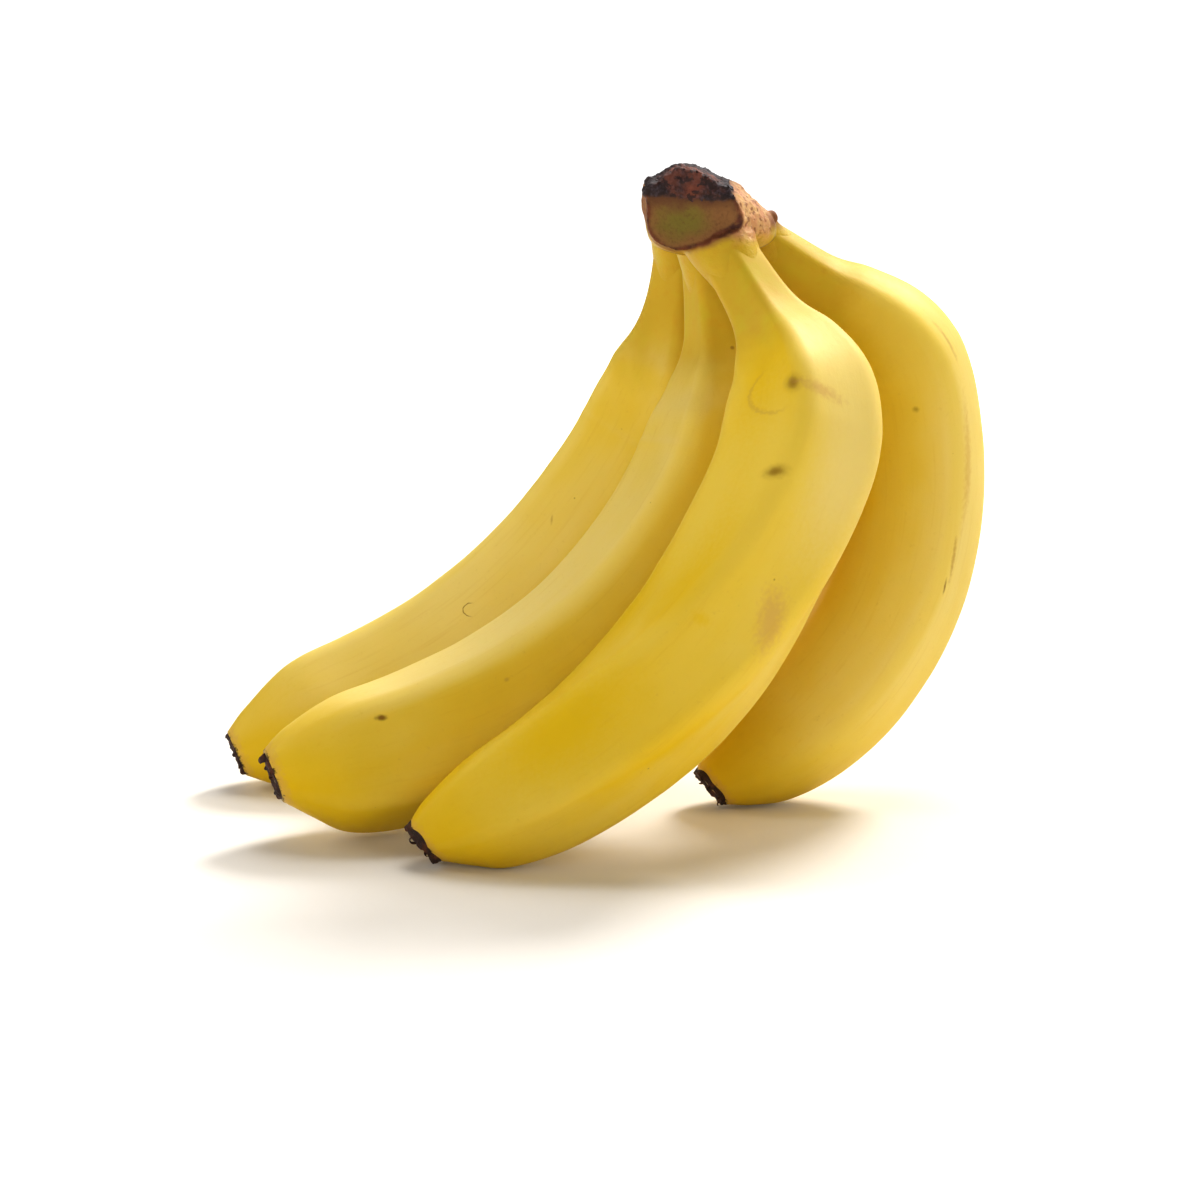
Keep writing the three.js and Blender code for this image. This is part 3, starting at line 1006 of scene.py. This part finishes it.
def cut_colour(graph, local, cloud, grain):
    """Green in its middle, tan round that, and brown towards the crust above, a painted shadow under it."""
    middle = graph.vector("MULTIPLY", graph.vector("SUBTRACT", local, GREENEST_AT), (1, 0, 1.5))
    away = graph.stray(graph.vector("LENGTH", middle), cloud, 9 * MM)
    cut = graph.mix(graph.span(away, 1 * MM, 10 * MM), CUT_GREEN, CUT_TAN)
    # Painted shadow: browner towards the crust.
    height = graph.stray(graph.split(local)[2], cloud, 5 * MM)
    cut = graph.mix(graph.span(height, 3 * MM, 8 * MM, 0, 0.85), cut, CUT_BROWN)
    return graph.mix(graph.span(grain, 0.45, 0.8, 0, 0.5), cut, CUT_BROWN)


def crust_colour(graph, local, cloud, grain, pits):
    """Nearly black, with a bluish bloom and one reddish patch."""
    patch = graph.vector("LENGTH", graph.vector("SUBTRACT", local, RED_PATCH_AT))
    patch = graph.stray(patch, cloud, 14 * MM)
    crust = graph.mix(graph.span(grain, 0.42, 0.66, 0, 0.8), CRUST_BLACK, CRUST_BLUE)
    crust = graph.mix(graph.span(patch, 10.5 * MM, 3 * MM, 0, 0.9), crust, CRUST_RED)
    return graph.mix(graph.span(pits, 0.5, 0.4, 0, 0.85), crust, CRUST_BLACK)


def crown_material():
    material, graph, shader = new_material("crown_bark")
    place = graph.place()
    local = graph.vector("SUBTRACT", place, tuple(CROWN_AT * MM))
    neck = graph.attribute("neck")
    cloud = graph.noise(place, 260, 3)
    grain = graph.noise(place, 1100, 4, 0.65)
    pits = graph.noise(place, 620, 3, 0.6)

    # Dried peel between the areas, and the fresh necks below. The other areas lie over these.
    colour = graph.mix(graph.span(cloud, 0.35, 0.65), BARK, CORK_BROWN)
    colour = graph.mix(neck, colour, neck_colour(graph, place))
    # Painted shade where the necks meet.
    crease = graph.math("MULTIPLY", graph.attribute("crease"), 0.75)
    colour = graph.mix(crease, colour, CREASE_SHADE_BROWN)
    colour = graph.mix(graph.attribute("cork"), colour, cork_colour(graph, cloud, grain, pits))
    colour = graph.mix(graph.attribute("face"), colour, cut_colour(graph, local, cloud, grain))
    rim = graph.mix(graph.span(cloud, 0.4, 0.62), RIM_BROWN, RIM_RED)
    shown = graph.math("MULTIPLY", graph.attribute("rim"), graph.span(grain, 0.3, 0.55, 0.55, 1.0))
    colour = graph.mix(shown, colour, rim)
    colour = graph.mix(graph.attribute("crust"), colour, crust_colour(graph, local, cloud, grain, pits))

    # The necks shine as the peel does; the rest is dull.
    relief = graph.math("MULTIPLY_ADD", grain, 0.6, graph.math("MULTIPLY", pits, 0.8))
    graph.feed_all(shader, {
        "Base Color": colour,
        "Roughness": graph.span(neck, 0, 1, 0.72, 0.48),
        "Normal": graph.bump(relief, 0.6, 0.35 * MM),
        "Specular Tint": graph.mix(neck, (1, 1, 1, 1), WAX_TINT),
        "Subsurface Weight": graph.math("MULTIPLY", neck, FLESH_SHARE),
        **FLESH,
    })
    return material


crown_bark = crown_material()
crown.data.materials.clear()
crown.data.materials.append(crown_bark)
print("crown material:", len(crown_bark.node_tree.nodes), "nodes")

# %% [markdown]
# ## Flakes on the crust
#
# Dried stalk splits into small curled flakes. There are hundreds, so Geometry Nodes scatter one
# small plate over the crust and turn and size each copy by chance, from a fixed seed.


# %% Scatter tree
def by_chance(graph, low, high, seed):
    """A number between low and high, another one for each point."""
    inputs = {2: low, 3: high, "Seed": seed}
    return graph.node("FunctionNodeRandomValue", inputs, data_type="FLOAT").outputs[1]


def scatter_tree():
    graph, given, made = new_tree(
        "scatter", Flake="Object", Density="Float", Where="String", Smallest="Float", Largest="Float",
        Lean="Float", Seed="Int", Material="Material",
    )
    seed = given["Seed"]
    density = graph.math("POWER", graph.stored(given["Where"]), 2)
    density = graph.math("MULTIPLY", given["Density"], density)
    inputs = {"Mesh": given["Geometry"], "Density": density, "Seed": seed}
    spread = graph.node("GeometryNodeDistributePointsOnFaces", inputs).outputs

    # Each flake lies on the surface, turned any way round and lifted a little at one end.
    inputs = {"Vector": spread["Normal"]}
    up = graph.node("FunctionNodeAlignRotationToVector", inputs, axis="Z").outputs[0]
    lean = by_chance(graph, 0.0, given["Lean"], seed)
    whole_turn = by_chance(graph, 0.0, math.tau, seed)
    turned = graph.node("FunctionNodeEulerToRotation", {0: graph.combine(lean, 0.0, whole_turn)}).outputs[0]
    inputs = {0: up, 1: turned}
    rotation = graph.node("FunctionNodeRotateRotation", inputs, rotation_space="LOCAL").outputs[0]
    inputs = {
        "Points": spread["Points"],
        "Instance": graph.node("GeometryNodeObjectInfo", {"Object": given["Flake"]}).outputs["Geometry"],
        "Rotation": rotation,
        "Scale": by_chance(graph, given["Smallest"], given["Largest"], seed),
    }
    copies = graph.node("GeometryNodeInstanceOnPoints", inputs).outputs[0]
    real = graph.node("GeometryNodeRealizeInstances", {"Geometry": copies}).outputs[0]
    inputs = {"Geometry": real, "Material": given["Material"]}
    graph.feed(made["Geometry"], graph.node("GeometryNodeSetMaterial", inputs).outputs[0])
    return graph.tree


SCATTER = scatter_tree()
print("scatter tree:", len(SCATTER.nodes), "nodes")


# %% One flake, and its copies on the crust
def flake_shape(long=1.8, wide=1.3, thick=0.3, curl=0.22):
    """A small plate, curled up at one end and tapered, 4 steps long and 2 wide."""
    points, faces = [], []
    columns, rows = 5, 3
    for side in (1, -1):
        for i in range(columns):
            for j in range(rows):
                u, v = i / (columns - 1), j / (rows - 1) - 0.5
                taper = 1 - 0.75 * u * u
                height = curl * u * u - 0.4 * v * v + side * thick * 0.5 * (1 - 0.7 * u)
                points.append(((u - 0.3) * long * MM, v * wide * taper * MM, height * MM))
    below = columns * rows
    for i in range(columns - 1):
        for j in range(rows - 1):
            a, b = i * rows + j, (i + 1) * rows + j
            faces.append((a, b, b + 1, a + 1))
            faces.append((below + a, below + a + 1, below + b + 1, below + b))
    rim = [i * rows for i in range(columns)] + [below - 2, below - 1]
    rim += [i * rows + rows - 1 for i in range(columns - 2, -1, -1)] + [1]
    for a, b in zip(rim, rim[1:] + rim[:1]):
        faces.append((a, below + a, below + b, b))
    return points, faces


flake_points, flake_faces = flake_shape()
flake = new_piece("flake", flake_points, faces=flake_faces)
crown_flakes = new_piece("crown_flakes", [])
crown_flakes.data = crown.data.copy()
run_tree(
    crown_flakes, SCATTER, Flake=flake, Density=70000.0, Where="crust", Smallest=0.5, Largest=1.0,
    Lean=0.08, Seed=7, Material=crown_bark,
)
print("flakes:", len(crown_flakes.data.polygons), "faces")

# %% [markdown]
# ## The flower remains
#
# Each banana grew behind a flower. At the tip its dried base is left: a black disc with a curled,
# ragged rim, a hollow in it, and bits of petal. Displacing a plain cap would not make the thin parts
# that stand off it. So the disc is made of rings that follow a short outline and are roughened, and
# the bits are strips that bend over, each worked out step by step.


# %% The scar's disc
# Its outline from the rim inwards: distance from the axis, and height above the tip, in millimetres.
SCAR_OUTLINE = [
    (6.4, -0.9), (6.45, -0.3), (6.3, 0.2), (5.9, 0.6), (5.3, 0.75), (4.7, 0.5), (4.0, 0.0), (2.8, -0.2),
    (1.8, -0.1), (1.1, 0.4), (0.7, 0.8), (0.25, 0.9),
]
SCAR_INSET = 0.35       # how much the whole disc is drawn in


def tip_frame(finger):
    """The middle of a finger's tip, and its section's two directions and its axis."""
    points, along, across = centre_line(finger)
    inward = np.cross(along[-1], across)
    slant = math.radians(finger["slant"])
    turned = math.cos(slant) * inward + math.sin(slant) * along[-1]
    return points[-1] / MM, turned, across, np.cross(across, turned)


def scar_rings(finger, seed, sides=72):
    """Rings of the disc. Its high parts are roughened, and it bulges towards the peel's ridges."""
    middle, inward, across, axis = tip_frame(finger)
    angles = np.linspace(0, math.tau, sides, endpoint=False)
    lobes = np.cos(RIDGES * (angles - math.radians(finger["ridge"])))
    rings = []
    for radius, rise in smooth_curve(SCAR_OUTLINE, 4):
        rise = max(rise, 0) * finger["scar"] + min(rise, 0)
        turn = np.column_stack([np.cos(angles), np.sin(angles), np.full(sides, rise * 0.3)])
        chance = rough(turn * 2.2 + seed * 9.7, 1.0, 4)
        high = ease(rise, 0.0, 0.7)
        reach = radius * (1 + 0.03 * lobes + 0.08 * chance * high) - SCAR_INSET
        height = rise + high * (0.5 * chance + 0.15 * lobes)
        rings.append(
            middle + np.outer(reach * np.cos(angles), inward) + np.outer(reach * np.sin(angles), across)
            + np.outer(height, axis)
        )
    return np.array(rings)


print("rings and points of a disc:", scar_rings(FINGERS[0], 1).shape[:2])


# %% The strips on its rim
def strip(finger, angle, reach, long, wide, curl, spin, thick=0.55, steps=12, sides=8):
    """A dried strip that stands on the scar's rim, tapers, and curls over."""
    middle, inward, across, axis = tip_frame(finger)
    out = math.cos(angle) * inward + math.sin(angle) * across
    side = -math.sin(angle) * inward + math.cos(angle) * across
    lean = math.cos(spin) * out + math.sin(spin) * side
    beside = np.cross(axis, lean)
    point = middle + reach * out + 0.1 * axis
    rings = []
    for i in range(steps + 1):
        share = i / steps
        turn = math.radians(curl) * share * share
        forward = math.cos(turn) * axis + math.sin(turn) * lean
        over = math.cos(turn) * lean - math.sin(turn) * axis
        size = 1 - 0.72 * share**1.5
        ring = []
        for a in np.linspace(0, math.tau, sides, endpoint=False):
            aside = wide / 2 * size * math.cos(a) * beside
            ring.append(point + aside + thick / 2 * size * math.sin(a) * over)
        rings.append(ring)
        point = point + forward * long / steps
    return closed_loft(np.array(rings))


# %% Flower material
FLOWER_BROWN = tone(92, 50, 26)
FLOWER_BLACK = tone(46, 22, 14)
FLOWER_GREY = tone(128, 94, 66)


def flower_material():
    material, graph, shader = new_material("dried_flower")
    place = graph.place()
    cloud = graph.noise(place, 480, 4, 0.6)
    grain = graph.noise(place, 1700, 4, 0.65)
    colour = graph.mix(graph.span(cloud, 0.45, 0.7), FLOWER_BLACK, FLOWER_BROWN)
    colour = graph.mix(graph.span(grain, 0.6, 0.85, 0, 0.5), colour, FLOWER_GREY)
    relief = graph.math("MULTIPLY_ADD", grain, 0.6, cloud)
    graph.feed_all(shader, {
        "Base Color": colour,
        "Normal": graph.bump(relief, 0.7, 0.4 * MM),
        "Roughness": graph.span(grain, 0.3, 0.7, 0.62, 0.85),
    })
    return material


dried_flower = flower_material()
print("flower material:", len(dried_flower.node_tree.nodes), "nodes")

# %% The four flower scars
# A strip: its angle round the rim, how far it stands from the middle, its length, its width, how many
# degrees it curls, and how far it leans aside from straight outwards, in radians.
STRIPS = [
    [(100, 5.4, 1.2, 1.8, 80, 0.3), (60, 5.5, 1.1, 1.6, -60, 0.8), (180, 5.3, 1.3, 1.8, 90, -0.4),
     (260, 5.4, 1.1, 1.6, 70, 0.5), (330, 5.3, 1.2, 1.6, -70, 0.1)],
    [(-6, 5.6, 2.8, 3.6, -130, 0.0), (14, 5.3, 2.4, 3.2, -100, 0.4), (72, 5.4, 1.0, 1.8, 60, 0.5),
     (140, 5.4, 1.1, 1.6, -60, -0.3), (215, 5.5, 1.2, 1.8, 80, 0.6), (290, 5.4, 1.1, 1.6, 70, -0.6)],
    [(15, 5.0, 2.6, 2.8, -170, 0.3), (50, 4.6, 2.6, 2.4, -200, 0.9), (90, 4.0, 5.0, 1.8, 330, -0.9),
     (130, 4.8, 2.4, 2.2, 160, 0.7), (170, 5.2, 1.8, 2.4, 90, 0.2), (235, 5.2, 1.6, 1.8, 120, -0.5),
     (300, 5.0, 2.0, 1.8, -110, 0.4)],
    [(40, 5.2, 1.8, 1.8, 110, 0.4), (120, 5.2, 1.4, 1.8, -80, 0.2), (200, 5.2, 1.8, 2.0, 100, -0.5),
     (280, 5.2, 1.4, 1.6, 80, 0.6)],
]


def face_outwards(mesh):
    """Turns the faces of every closed part of a mesh outwards."""
    shell = bmesh.new()
    shell.from_mesh(mesh)
    bmesh.ops.recalc_face_normals(shell, faces=shell.faces)
    shell.to_mesh(mesh)
    shell.free()


def make_flower(number, finger):
    parts = [closed_loft(scar_rings(finger, number))]
    for angle, reach, long, wide, curl, spin in STRIPS[number - 1]:
        parts.append(strip(finger, math.radians(angle), reach, long, wide, curl, spin))
    points, faces = stacked(parts)
    piece = new_piece(f"flower_{number}", points * MM, faces=faces)
    face_outwards(piece.data)
    piece.data.shade_smooth()
    piece.data.materials.append(dried_flower)
    return piece


flowers = [make_flower(number, finger) for number, finger in enumerate(FINGERS, 1)]
print("flowers:", [len(piece.data.polygons) for piece in flowers])

# %% [markdown]
# ## Floor and light
#
# A nearly white table and soft studio light. The light could come from one picture of a studio, but
# then its parts can't be moved or dimmed one by one. So a wide sun from behind on the right draws the
# soft shadows towards the viewer, and a warm sky fills them. Large soft boxes above, beside, before
# and behind the bunch put a pale sheen on the peel.

# %% Floor
FLOOR_SIZE = 6.0
FLOOR_WHITE = (0.87, 0.84, 0.795, 1)
FLOOR_SPECK = (0.85, 0.82, 0.775, 1)


def make_floor():
    """A square table. It brightens far from the bunch, so that its edge meets the white behind it."""
    half = FLOOR_SIZE / 2
    corners = [(-half, -half, 0), (half, -half, 0), (half, half, 0), (-half, half, 0)]
    floor = new_piece("floor", corners, faces=[(0, 1, 2, 3)])
    material, graph, shader = new_material("floor")
    place = graph.place()
    graph.feed_all(shader, {
        "Base Color": graph.mix(graph.noise(place, 30, 2), FLOOR_WHITE, FLOOR_SPECK),
        "Emission Strength": graph.span(graph.vector("LENGTH", place), 0.25, 0.9, 0.02, 0.6),
        "Emission Color": (1.0, 1.0, 1.0, 1.0),
        "Roughness": 0.9,
        "Specular IOR Level": 0.1,
    })
    floor.data.materials.append(material)


make_floor()
print("floor:", FLOOR_SIZE, "m wide")

# %% Lights
def make_light(name, kind, place, power, **settings):
    """A white light that shines on the bunch. The settings are the light's own, such as its size."""
    data = bpy.data.lights.new(name, kind)
    data.energy = power
    for key, value in settings.items():
        setattr(data, key, value)
    light = bpy.data.objects.new(name, data)
    scene.collection.objects.link(light)
    light.location = place
    light.rotation_euler = (LOOK_AT - light.location).to_track_quat("-Z", "Y").to_euler()
    light.visible_camera = False


def make_box(name, place, power, size):
    make_light(name, "AREA", Vector(place), power, shape="SQUARE", size=size)


def make_sky():
    """A warm fill for the shadows. The camera itself sees plain white behind the table."""
    sky = bpy.data.worlds.new("sky")
    sky.use_nodes = True
    graph = Graph(sky.node_tree)
    seen = graph.node("ShaderNodeLightPath").outputs["Is Camera Ray"]
    background = sky.node_tree.nodes["Background"]
    graph.feed(background.inputs["Color"], graph.mix(seen, (1.0, 0.88, 0.72, 1), (1, 1, 1, 1)))
    graph.feed(background.inputs["Strength"], graph.span(seen, 0, 1, 0.15, 1.0))
    scene.world = sky


make_sky()
make_light("sun", "SUN", Vector((0.75, 0.95, 1.25)), 2.25, angle=math.radians(18))
make_box("top_box", (0.1, 0.2, 1.0), 4.2, 0.6)
make_box("right_box", (1.15, -0.1, 0.4), 2.4, 0.5)
make_box("left_box", (-0.95, 0.1, 0.6), 2.4, 0.45)
make_box("front_box", (-0.3, -1.2, 0.32), 4.2, 0.8)
make_box("back_box", (0.15, 1.3, 0.65), 6.3, 1.5)
scene.view_settings.view_transform = "Standard"
scene.view_settings.gamma = 0.85
scene.view_settings.exposure = 0.29

# %% [markdown]
# ## The pieces on their body
#
# Every piece rides on the one body of the bunch and stands for the plain solid that it replaces.

# %% Bodies, and the plain solids that the pieces replace
bpy.data.objects.remove(flake)
for number, (finger, flower) in enumerate(zip(fingers, flowers), 1):
    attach(finger, "root")
    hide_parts(f"banana_{number}")
    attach(flower, "root")
    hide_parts(f"flower_stub_{number}")
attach(crown, "root")
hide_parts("crown")
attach(crown_flakes, "root")
